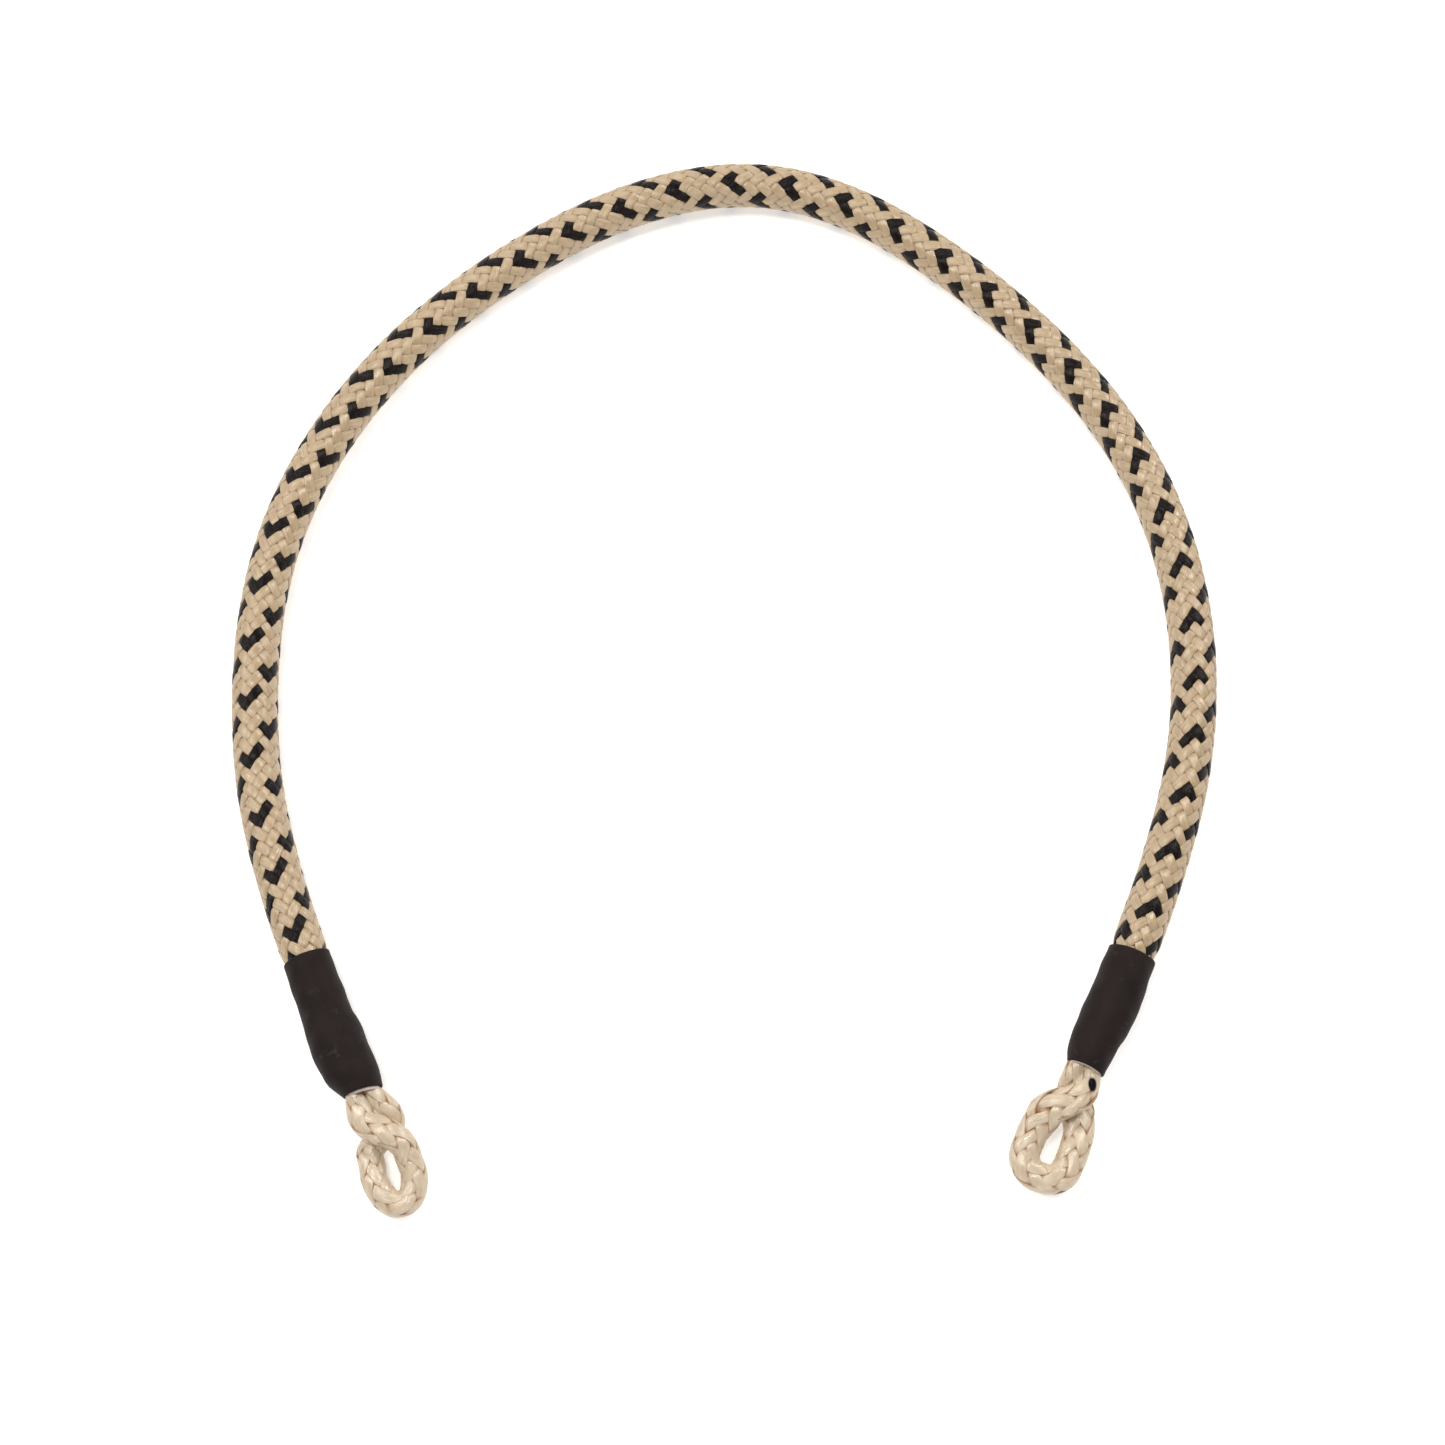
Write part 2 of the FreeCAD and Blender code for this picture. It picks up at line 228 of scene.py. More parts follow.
def surface(name, rings, uv, closed_ends=True, extra=None):
    """Mesh of tubes from rings of points.

    rings is (tubes, rows, columns, 3): quads join each ring to the next and close round it; each
    end is closed by a fan to the ring's middle.  uv is (tubes, rows, columns + 1, 2).  extra maps
    an attribute's name to (tubes, rows, columns) values.
    """
    tubes, rows, columns, _ = rings.shape
    poles = rings[:, [0, -1]].mean(axis=2)
    points = np.concatenate([rings.reshape(tubes, -1, 3), poles], axis=1)
    each = rows * columns + 2
    row, column = np.meshgrid(np.arange(rows - 1), np.arange(columns), indexing="ij")
    beside = (column + 1) % columns
    quads = np.stack([row * columns + column, row * columns + beside,
                      (row + 1) * columns + beside, (row + 1) * columns + column], -1).reshape(-1, 4)
    places = np.stack([row * (columns + 1) + column, row * (columns + 1) + column + 1,
                       (row + 1) * (columns + 1) + column + 1, (row + 1) * (columns + 1) + column],
                      -1).reshape(-1, 4)
    around = np.arange(columns)
    nearer = np.stack([(around + 1) % columns, around, np.full(columns, rows * columns)], -1)
    last = (rows - 1) * columns
    further = np.stack([last + around, last + (around + 1) % columns,
                        np.full(columns, rows * columns + 1)], -1)
    fans = np.concatenate([nearer, further])
    last_uv = (rows - 1) * (columns + 1)
    fan_uv = np.concatenate([np.stack([around + 1, around, around], -1),
                             np.stack([last_uv + around, last_uv + around + 1, last_uv + around], -1)])
    shift = (np.arange(tubes) * each)[:, None, None]
    shift_uv = (np.arange(tubes) * rows * (columns + 1))[:, None, None]
    corners = [(quads[None] + shift).reshape(-1)]
    corner_uv = [(places[None] + shift_uv).reshape(-1)]
    totals = [np.full(tubes * len(quads), 4)]
    if closed_ends:
        corners.append((fans[None] + shift).reshape(-1))
        corner_uv.append((fan_uv[None] + shift_uv).reshape(-1))
        totals.append(np.full(tubes * len(fans), 3))
    corners, corner_uv, totals = map(np.concatenate, (corners, corner_uv, totals))

    mesh = bpy.data.meshes.new(name)
    mesh.vertices.add(tubes * each)
    mesh.vertices.foreach_set("co", points.astype(np.float32).ravel())
    mesh.loops.add(len(corners))
    mesh.loops.foreach_set("vertex_index", corners.astype(np.int32))
    mesh.polygons.add(len(totals))
    mesh.polygons.foreach_set("loop_start", np.r_[0, np.cumsum(totals)[:-1]].astype(np.int32))
    mesh.polygons.foreach_set("use_smooth", np.ones(len(totals), bool))
    layer = mesh.uv_layers.new(name="length_and_width")
    layer.data.foreach_set("uv", uv.reshape(-1, 2)[corner_uv].astype(np.float32).ravel())
    for label, values in (extra or {}).items():
        values = values.reshape(tubes, -1)
        values = np.concatenate([values, values[:, [0, -1]]], axis=1)
        mesh.attributes.new(label, "FLOAT", "POINT").data.foreach_set("value",
                                                                      values.astype(np.float32).ravel())
    mesh.update(calc_edges=True)
    mesh.validate()
    piece = bpy.data.objects.new(name, mesh)
    bpy.context.scene.collection.objects.link(piece)
    return piece


STRAY_LENGTHS = (0.0061, 0.0113, 0.0297)  # lengths of the waves in which a thread wanders
UV_STEP = (0.37, 0.011)  # shift of each thread's pattern from the last one's, along and round


def braid(name, line, places, ways, look):
    """Flat threads of a two-over-two tubular braid, one closed tube for each thread.

    m(s) counts the crossings along the line, two for each pitch.  A left-going thread i stands in
    column c = 2 i - m and a right-going thread j in c = m - 2 j; a column is 360 / (2 carriers)
    degrees wide.  A thread is outside where its column is nearest to 2.5, or 0.5, modulo 4, and
    rises and sinks as a flattened cosine of c with a period of four columns.  Its section is a
    superellipse, wide and flat, bent to the cord's own curve and laid square to the thread.  Each
    thread wanders and swells a little by sums of three sines with seeded phases.

    ways is a list of (direction, thread numbers); look holds the sizes in metres and the functions
    crossings(s), lean(s), half_across(s) and half_up(s).
    """
    crossings = look["crossings"](places)
    point, _, side, above = line.at(places)
    half_across, half_up = look["half_across"](places), look["half_up"](places)
    bend = math.pi / look["carriers"]
    turn = np.linspace(0, 2 * math.pi, look["columns"], endpoint=False)
    flat_x = np.sign(np.cos(turn)) * np.abs(np.cos(turn)) ** 0.8 * look["width"] / 2
    flat_y = np.sign(np.sin(turn)) * np.abs(np.sin(turn)) ** 0.5 * look["thickness"] / 2
    drop = look["thickness"] * look["rise"]
    chance = np.random.default_rng(look["seed"])
    waves = 2 * math.pi / np.array(STRAY_LENGTHS)
    rings, heights = [], []
    for direction, threads in ways:
        for thread in threads:
            column = 2 * thread - crossings if direction == "left" else crossings - 2 * thread
            wave = np.cos(math.pi / 2 * (column - (2.5 if direction == "left" else 0.5)))
            height = wave * math.sqrt(1 + look["softness"]) / np.sqrt(wave ** 2 + look["softness"])
            stray, swell = (np.sin(places[:, None] * waves + chance.uniform(0, 2 * math.pi, 3)).sum(axis=1)
                            for _ in range(2))
            angle = bend * column + look["lean"](places) + stray * look["wander"] / half_up
            sunk = look["thickness"] / 2 + drop * (1 - height) - swell * look["thickness"] * 0.03
            across, up = half_across - sunk, half_up - sunk
            out_side, out_up = np.sin(angle), np.cos(angle)
            middle = point + side * (across * out_side)[:, None] + above * (up * out_up)[:, None]
            outward = side * (out_side / across)[:, None] + above * (out_up / up)[:, None]
            along = np.gradient(middle, axis=0)
            along /= np.linalg.norm(along, axis=1)[:, None]
            outward -= along * np.sum(outward * along, axis=1)[:, None]
            outward /= np.linalg.norm(outward, axis=1)[:, None]
            wide = np.cross(outward, along)
            breadth = (1 + look["spread"] * height) * (1 + 0.03 * swell)
            sag = flat_x ** 2 / (2.4 * half_up.mean())
            rings.append(middle[:, None] + wide[:, None] * (flat_x[None, :] * breadth[:, None])[..., None]
                         + outward[:, None] * (flat_y - sag)[None, :, None])
            heights.append(np.repeat(height[:, None], look["columns"], axis=1))
    rings, heights = np.array(rings), np.array(heights)
    count = len(rings)
    run = np.linalg.norm(np.diff(rings.mean(axis=2), axis=1), axis=2)
    run = np.concatenate([np.zeros((count, 1)), np.cumsum(run, axis=1)], axis=1)
    run = run + np.arange(count)[:, None] * UV_STEP[0]
    girth = np.linspace(0, 1, look["columns"] + 1) * 2 * (look["width"] + look["thickness"])
    uv = np.empty((*run.shape, look["columns"] + 1, 2))
    uv[..., 0] = run[..., None]
    uv[..., 1] = girth + np.arange(count)[:, None, None] * UV_STEP[1]
    edge = np.broadcast_to(np.abs(np.cos(turn)), heights.shape)
    return surface(name, rings, uv, extra={"height": heights, "edge": edge})


def tube(name, line, places, half_across, half_up, columns=24):
    """Plain closed tube along the line: an ellipse of the given half sizes at each place."""
    point, _, side, above = line.at(places)
    turn = np.linspace(0, 2 * math.pi, columns, endpoint=False)
    ring = (point[:, None] + side[:, None] * (np.sin(turn) * half_across(places)[:, None])[..., None]
            + above[:, None] * (np.cos(turn) * half_up(places)[:, None])[..., None])
    uv = np.empty((1, len(places), columns + 1, 2))
    uv[0, ..., 0] = places[:, None]
    uv[0, ..., 1] = np.linspace(0, 2 * math.pi, columns + 1) * half_up(places).mean()
    return surface(name, ring[None, :, ::-1], uv)


# ---------------------------------------------------------------- materials

def add(tree, kind, inputs=None, **settings):
    """Adds a node, sets its settings, and sets or links each input that is named."""
    node = tree.nodes.new(kind)
    for key, value in settings.items():
        setattr(node, key, value)
    for key, value in (inputs or {}).items():
        if isinstance(value, bpy.types.NodeSocket):
            tree.links.new(value, node.inputs[key])
        else:
            node.inputs[key].default_value = value
    return node


def new_material(name):
    """Empty node material and its tree, with the output node linked by the caller."""
    material = bpy.data.materials.new(name)
    material.use_nodes = True
    material.node_tree.nodes.clear()
    return material, material.node_tree


def yarn(name, colour, shadow, gloss, shine, contrast, relief, filament=0.00017, sheen=0.1, ink=None):
    """Continuous-filament polyester yarn, laid flat in a braid.

    Filaments run along the thread and give fine lines and a silky gloss; they are really about
    0.02 mm thick, and are drawn eight to ten times as coarse so that they show.  Yarn that dives
    under its neighbours and yarn at a thread's edge is mixed towards the shadow colour: painted
    shade in the dips and where threads meet.  ink is the place, radius and colour of a marker dot.
    """
    material, tree = new_material(name)
    spot = add(tree, "ShaderNodeUVMap", uv_map="length_and_width").outputs["UV"]
    lines = add(tree, "ShaderNodeMapping", {"Vector": spot, "Scale": (1 / 0.0045, 1 / filament, 1)})
    fibre = add(tree, "ShaderNodeTexNoise", {"Vector": lines.outputs[0], "Scale": 1.0, "Detail": 3.0,
                                             "Roughness": 0.65, "Distortion": 0.15})
    patch = add(tree, "ShaderNodeMapping", {"Vector": spot, "Scale": (1 / 0.0014, 1 / 0.0007, 1)})
    cloud = add(tree, "ShaderNodeTexNoise", {"Vector": patch.outputs[0], "Scale": 1.0, "Detail": 2.0})
    height = add(tree, "ShaderNodeAttribute", attribute_name="height").outputs["Fac"]
    edge = add(tree, "ShaderNodeAttribute", attribute_name="edge").outputs["Fac"]
    # Painted shade: the yarn is mixed towards the shadow colour where the thread dives under its neighbours,
    # from its height, and along its edges, where threads meet.
    sunk = add(tree, "ShaderNodeMapRange", {"Value": height, "From Min": -0.5, "From Max": 0.5,
                                            "To Min": 1.0, "To Max": 0.0})
    edge_shade = add(tree, "ShaderNodeMapRange", {"Value": edge, "From Min": 0.84, "From Max": 0.98,
                                            "To Min": 0.0, "To Max": 0.8})
    painted_shade = add(tree, "ShaderNodeMath", {0: sunk.outputs[0], 1: edge_shade.outputs[0]}, operation="MAXIMUM")
    tone = add(tree, "ShaderNodeMix", {"Factor": painted_shade.outputs[0], "A": (*colour, 1), "B": (*shadow, 1)},
               data_type="RGBA")
    streak = add(tree, "ShaderNodeMapRange", {"Value": fibre.outputs[0], "From Min": 0.3, "From Max": 0.7,
                                              "To Min": 1 - contrast, "To Max": 1 + contrast * 0.6})
    # drift: tone that differs at random along the yarn, also widened into soft light and dark patches that
    # paint the satin's mottled sheen.
    drift = add(tree, "ShaderNodeMapRange", {"Value": cloud.outputs[0], "From Min": 0.3, "From Max": 0.7,
                                             "To Min": 0.90, "To Max": 1.07})
    shade = add(tree, "ShaderNodeMath", {0: streak.outputs[0], 1: drift.outputs[0]}, operation="MULTIPLY")
    final = add(tree, "ShaderNodeVectorMath", {0: tone.outputs["Result"], "Scale": shade.outputs[0]},
                operation="SCALE").outputs[0]
    gleam = shine
    if ink:
        place, radius, ink_colour = ink
        where = add(tree, "ShaderNodeTexCoord").outputs["Object"]
        off = add(tree, "ShaderNodeVectorMath", {0: where, 1: place}, operation="SUBTRACT")
        oval = add(tree, "ShaderNodeVectorMath", {0: off.outputs[0], 1: (1.2, 0.75, 1.0)},
                   operation="MULTIPLY")
        gap = add(tree, "ShaderNodeVectorMath", {0: oval.outputs[0]}, operation="LENGTH")
        blot = add(tree, "ShaderNodeMapRange", {"Value": gap.outputs["Value"], "From Min": radius * 0.85,
                                                "From Max": radius * 1.15, "To Min": 1.0, "To Max": 0.0})
        final = add(tree, "ShaderNodeMix", {"Factor": blot.outputs[0], "A": final, "B": (*ink_colour, 1)},
                    data_type="RGBA").outputs["Result"]
        gleam = add(tree, "ShaderNodeMapRange", {"Value": blot.outputs[0], "To Min": shine,
                                                 "To Max": 0.1}).outputs[0]
    waves = add(tree, "ShaderNodeBump", {"Height": cloud.outputs[0], "Strength": 0.6, "Distance": relief})
    bump = add(tree, "ShaderNodeBump", {"Height": fibre.outputs[0], "Strength": 0.8, "Distance": relief,
                                        "Normal": waves.outputs[0]})
    polish = add(tree, "ShaderNodeMapRange", {"Value": fibre.outputs[0], "From Min": 0.35, "From Max": 0.65,
                                              "To Min": gloss + 0.14, "To Max": gloss - 0.1})
    lay = add(tree, "ShaderNodeTangent", direction_type="UV_MAP", uv_map="length_and_width")
    skin = add(tree, "ShaderNodeBsdfPrincipled", {
        "Base Color": final, "Roughness": polish.outputs[0], "IOR": 1.57, "Specular IOR Level": gleam,
        "Anisotropic": 0.75, "Anisotropic Rotation": 0.25, "Tangent": lay.outputs[0],
        "Sheen Weight": sheen, "Sheen Roughness": 0.4, "Normal": bump.outputs[0]})
    add(tree, "ShaderNodeOutputMaterial", {"Surface": skin.outputs[0]})
    return material


def shrunk_tube(name, colour):
    """Heat-shrunk polyolefin: matt, faintly mottled, with pale rub marks from handling."""
    material, tree = new_material(name)
    where = add(tree, "ShaderNodeTexCoord").outputs["Object"]
    mottle = add(tree, "ShaderNodeTexNoise", {"Vector": where, "Scale": 1 / 0.0035, "Detail": 3.0})
    grain = add(tree, "ShaderNodeTexNoise", {"Vector": where, "Scale": 1 / 0.00035, "Detail": 2.0})
    rub = add(tree, "ShaderNodeTexNoise", {"Vector": where, "Scale": 1 / 0.0026, "Detail": 5.0,
                                           "Roughness": 0.75})
    mark = add(tree, "ShaderNodeMapRange", {"Value": rub.outputs[0], "From Min": 0.6, "From Max": 0.8,
                                            "To Min": 0.0, "To Max": 0.3})
    shade = add(tree, "ShaderNodeMapRange", {"Value": mottle.outputs[0], "From Min": 0.3, "From Max": 0.7,
                                             "To Min": 0.82, "To Max": 1.16})
    toned = add(tree, "ShaderNodeVectorMath", {0: colour, "Scale": shade.outputs[0]}, operation="SCALE")
    final = add(tree, "ShaderNodeMix", {"Factor": mark.outputs[0], "A": toned.outputs[0],
                                        "B": (*linear("6A6464"), 1)}, data_type="RGBA")
    bump = add(tree, "ShaderNodeBump", {"Height": grain.outputs[0], "Strength": 0.25, "Distance": 0.00006})
    skin = add(tree, "ShaderNodeBsdfPrincipled", {
        "Base Color": final.outputs["Result"], "Roughness": 0.6, "IOR": 1.5, "Specular IOR Level": 0.1,
        "Normal": bump.outputs[0]})
    add(tree, "ShaderNodeOutputMaterial", {"Surface": skin.outputs[0]})
    return material


def hot_melt(name, colour):
    """Set hot-melt adhesive: milky and a little glossy, with soft waves where it flowed."""
    material, tree = new_material(name)
    where = add(tree, "ShaderNodeTexCoord").outputs["Object"]
    flow = add(tree, "ShaderNodeTexNoise", {"Vector": where, "Scale": 1 / 0.0009, "Detail": 2.0})
    shade = add(tree, "ShaderNodeMapRange", {"Value": flow.outputs[0], "From Min": 0.3, "From Max": 0.7,
                                             "To Min": 0.75, "To Max": 1.05})
    toned = add(tree, "ShaderNodeVectorMath", {0: colour, "Scale": shade.outputs[0]}, operation="SCALE")
    bump = add(tree, "ShaderNodeBump", {"Height": flow.outputs[0], "Strength": 0.4, "Distance": 0.0001})
    skin = add(tree, "ShaderNodeBsdfPrincipled", {
        "Base Color": toned.outputs[0], "Roughness": 0.28, "IOR": 1.48, "Subsurface Weight": 0.2,
        "Subsurface Radius": (0.001, 0.001, 0.001), "Normal": bump.outputs[0]})
    add(tree, "ShaderNodeOutputMaterial", {"Surface": skin.outputs[0]})
    return material


def waxed_twine(name, colour):
    """Waxed twine and buried cord inside the sleeve, with the lay of the thread as fine lines."""
    material, tree = new_material(name)
    where = add(tree, "ShaderNodeTexCoord").outputs["Object"]
    lay = add(tree, "ShaderNodeTexWave", {"Vector": where, "Scale": 1 / 0.0008, "Distortion": 1.5})
    shade = add(tree, "ShaderNodeMapRange", {"Value": lay.outputs[0], "To Min": 0.8, "To Max": 1.05})
    toned = add(tree, "ShaderNodeVectorMath", {0: colour, "Scale": shade.outputs[0]}, operation="SCALE")
    bump = add(tree, "ShaderNodeBump", {"Height": lay.outputs[0], "Strength": 0.5, "Distance": 0.0001})
    skin = add(tree, "ShaderNodeBsdfPrincipled", {"Base Color": toned.outputs[0], "Roughness": 0.5,
                                                  "Normal": bump.outputs[0]})
    add(tree, "ShaderNodeOutputMaterial", {"Surface": skin.outputs[0]})
    return material


def matt(name, colour, grain=0.0008, glow=0.0):
    """Plain matt surface with a slight grain, for the lit floor and for the cores inside the braids, whose
    dark colours are painted shade.
    """
    material, tree = new_material(name)
    where = add(tree, "ShaderNodeTexCoord").outputs["Object"]
    noise = add(tree, "ShaderNodeTexNoise", {"Vector": where, "Scale": 1 / grain, "Detail": 2.0})
    shade = add(tree, "ShaderNodeMapRange", {"Value": noise.outputs[0], "To Min": 0.97, "To Max": 1.03})
    toned = add(tree, "ShaderNodeVectorMath", {0: colour, "Scale": shade.outputs[0]}, operation="SCALE")
    skin = add(tree, "ShaderNodeBsdfPrincipled", {"Base Color": toned.outputs[0], "Roughness": 0.85,
                                                  "Emission Color": (1, 1, 1, 1), "Emission Strength": glow})
    add(tree, "ShaderNodeOutputMaterial", {"Surface": skin.outputs[0]})
    return material


# ---------------------------------------------------------------- pieces

def rope_line():
    """The rope's centre line, with the sleeves' lift at its two ends."""
    rest = bpy.context.scene.noseband_cover.diameter / 2
    heights = [MOUTH_HEIGHT["left"]] + [rest] * (len(ROUTE) - 2) + [MOUTH_HEIGHT["right"]]
    return Line("rope_route", [(x, y, z) for (x, y), z in zip(ROUTE, heights)])


def finish_piece(piece, material, slot_name, *stands_for):
    """Gives a piece its material, and hides the CAD nodes that it stands for."""
    piece.data.materials.append(material)
    if stands_for:
        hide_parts(*stands_for)
    return piece


LUMP = 0.00003  # height of the low lumps in a shrunk sleeve
SKEW_REACH = 0.009  # how far up a sleeve its mouth's skew is felt
RIM_DEPTH = 0.010  # how far up inside its sleeve the adhesive is drawn

# Radius of each sleeve on the arch's outer and inner side, from its mouth up, in metres.  skew is how
# much further the mouth's inner side reaches, and rim is how far the adhesive stands out of it.
SLEEVE_SHAPE = {
    "left": {"mouth": 0.0004, "length": 0.0245, "skew": 0.0010, "rim": 0.0004,
             "outer": [(0.0, 0.0030), (0.0006, 0.0034), (0.0034, 0.0048), (0.0057, 0.0050), (0.0089, 0.0052),
                       (0.0122, 0.0048), (0.0154, 0.0044), (0.0203, 0.0042), (0.0246, 0.0040)],
             "inner": [(0.0, 0.0034), (0.0029, 0.0041), (0.0071, 0.0042), (0.0108, 0.0043), (0.0120, 0.0042),
                       (0.0130, 0.0039), (0.0170, 0.0040), (0.0246, 0.0040)]},
    "right": {"mouth": 0.0, "length": 0.0208, "skew": 0.0, "rim": 0.00018,
              "outer": [(0.0, 0.0033), (0.0030, 0.0036), (0.0055, 0.0038), (0.0076, 0.0042), (0.0101, 0.0045),
                        (0.0128, 0.0045), (0.0154, 0.0044), (0.018, 0.0042), (0.0210, 0.0041)],
              "inner": [(0.0, 0.0032), (0.0008, 0.0036), (0.0027, 0.0041), (0.0052, 0.0043), (0.0083, 0.0044),
                        (0.0112, 0.0043), (0.0146, 0.0042), (0.0181, 0.0042), (0.0210, 0.0041)]},
}


class NOSEBAND_OT_cover(bpy.types.Operator):
    """Builds the woven cover and the core under it"""
    bl_idname = "noseband.cover"
    bl_label = "Braided Cover"

    def execute(self, context):
        made = context.scene.noseband_cover
        line = rope_line()
        radius = made.diameter / 2
        left_lip, right_lip = COVER_LIPS["left"], line.length - COVER_LIPS["right"]
        ease = 0.002
        squeeze = [(left_lip, GRIPPED_RADIUS), (left_lip + ease, radius), (right_lip - ease, radius),
                   (right_lip, GRIPPED_RADIUS)]

        def half(places):
            """Radius of the cover, which the sleeves grip at both ends."""
            return eased(places, squeeze, ease)

        def under(places):
            """Radius of the core under the cover."""
            return half(places) - COVER_DEPTH

        start, end = left_lip - UNDER_SLEEVE, right_lip + UNDER_SLEEVE
        places = np.linspace(start, end, 900)
        look = {"carriers": made.carriers, "width": made.width, "thickness": made.thickness,
                "crossings": lambda s: 2 * (s - made.first_mark + eased(s, COVER_SLIP, 0.03)) / made.pitch,
                "lean": lambda s: np.radians(eased(s, COVER_TWIST, 0.012) - MARK_LEAN),
                "half_across": half, "half_up": half, "rise": 0.45, "softness": 0.22, "spread": 0.05,
                "wander": 0.00003, "seed": 3, "columns": 10}
        # The second colour of each yarn is the painted shade in its dips and at its thread edges.
        light = yarn("beige_polyester_yarn", made.light, linear("6A431F"), gloss=0.33, shine=1.0,
                     contrast=0.26, relief=0.00018)
        dark = yarn("black_polyester_yarn", made.dark, linear("080605"), gloss=0.28, shine=0.14,
                    contrast=0.7, relief=0.00024, sheen=0.0)
        black = {"left": [1, 5, 9], "right": [2, 6, 10]}
        pieces = []
        for way, numbers in black.items():
            plain = [number for number in range(made.carriers) if number not in numbers]
            piece = braid(f"cover_{way}_beige", line, places, [(way, plain)], look)
            pieces.append(finish_piece(piece, light, "cover_braid"))
            piece = braid(f"cover_{way}_black", line, places, [(way, numbers)], look)
            pieces.append(finish_piece(piece, dark, "cover_braid"))
        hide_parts("left_cover", "right_cover")

        # The core under the cover is drawn a darker brown than its undyed yarn: painted shade for what shows
        # through the cover's gaps.
        inner = tube("core_under_cover", line, np.linspace(start, end, 400), under, under)
        finish_piece(inner, matt("core_braid_inside_painted_shade", linear("7D6542")), "core_braid",
                     "left_core", "right_core")
        pieces.append(inner)
        for piece in pieces:
            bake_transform(piece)
        line.at(np.array([start]))[0][0]
        line.part(start, end)
        return {"FINISHED"}


class NOSEBAND_OT_sleeves(bpy.types.Operator):
    """Builds the shrink sleeves and the adhesive that shows at their mouths"""
    bl_idname = "noseband.sleeves"
    bl_label = "Shrink Sleeves"

    def execute(self, context):
        made = context.scene.noseband_sleeve
        rubber = shrunk_tube("shrunk_polyolefin", made.colour)
        glue = hot_melt("hot_melt_adhesive", made.adhesive)
        line = rope_line()
        for side, shape in SLEEVE_SHAPE.items():
            piece = self.shell(f"{side}_shrink_sleeve", line, side, shape["mouth"], shape["length"],
                               0.0, made.wall)
            finish_piece(piece, rubber, "shrink_sleeve", f"{side}_sleeve")
            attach(piece, f"{side}_arch")
            rim = self.shell(f"{side}_adhesive_rim", line, side, shape["mouth"] - shape["rim"], RIM_DEPTH,
                             made.wall * 1.02, made.adhesive_wall)
            finish_piece(rim, glue, "adhesive_liner", f"{side}_liner")
            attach(rim, f"{side}_arch")
        return {"FINISHED"}

    @staticmethod
    def shell(name, line, side, start, end, inset, wall):
        """Thin tube round the rope's line, from one height above its mouth to another.

        At angle a from the top its radius is the outer and inner side's outlines mixed by
        (1 + sin a) / 2, with low lumps; the inner wall is the same outline a wall's width in, and
        two half rounds close the lips.  Near the mouth, heights drop by skew (1 + sin a) / 2, less and
        less up to SKEW_REACH.
        """
        shape = SLEEVE_SHAPE[side]
        columns, rows = 72, 110
        turn = np.linspace(0, 2 * math.pi, columns, endpoint=False)
        share = (1 + np.sin(turn)) / 2
        lip = np.linspace(0, math.pi, 7)[1:-1]
        up = np.linspace(start, end, rows)
        heights = np.concatenate([up, end + wall / 2 * np.sin(lip), up[::-1], start - wall / 2 * np.sin(lip)])
        depth = np.concatenate([np.zeros(rows), wall / 2 * (1 - np.cos(lip)), np.full(rows, wall),
                                wall / 2 * (1 + np.cos(lip))])
        outer, inner = (eased(np.clip(heights, start, end), shape[key], 0.0012) for key in ("outer", "inner"))
        lumps = (np.sin(3 * turn[None] + 900 * heights[:, None])
                 + np.sin(5 * turn[None] - 1500 * heights[:, None] + 1.3)) * LUMP
        radii = (outer[:, None] * (1 - share) + inner[:, None] * share + lumps - inset - depth[:, None])
        near_mouth = np.clip(1 - heights / SKEW_REACH, 0, 1.2)[:, None]
        levels = heights[:, None] - shape["skew"] * share * near_mouth ** 2
        places = levels if side == "left" else line.length - levels
        inside = np.clip(places, 0, line.length)
        point, tangent, across, above = line.at(inside)
        rings = (point + tangent * (places - inside)[..., None]
                 + across * (np.sin(turn) * radii)[..., None] + above * (np.cos(turn) * radii)[..., None])
        rings = np.concatenate([rings, rings[:1]])
        uv = np.zeros((1, len(rings), columns + 1, 2))
        piece = surface(name, rings[None], uv, closed_ends=False)
        weld(piece)
        return piece


def weld(piece):
    """Merges the first and last ring of a closed shell and drops loose points."""
    shell = bmesh.new()
    shell.from_mesh(piece.data)
    bmesh.ops.remove_doubles(shell, verts=shell.verts, dist=1e-7)
    loose = [vertex for vertex in shell.verts if not vertex.link_faces]
    bmesh.ops.delete(shell, geom=loose, context="VERTS")
    bmesh.ops.recalc_face_normals(shell, faces=shell.faces)
    shell.to_mesh(piece.data)
    shell.free()


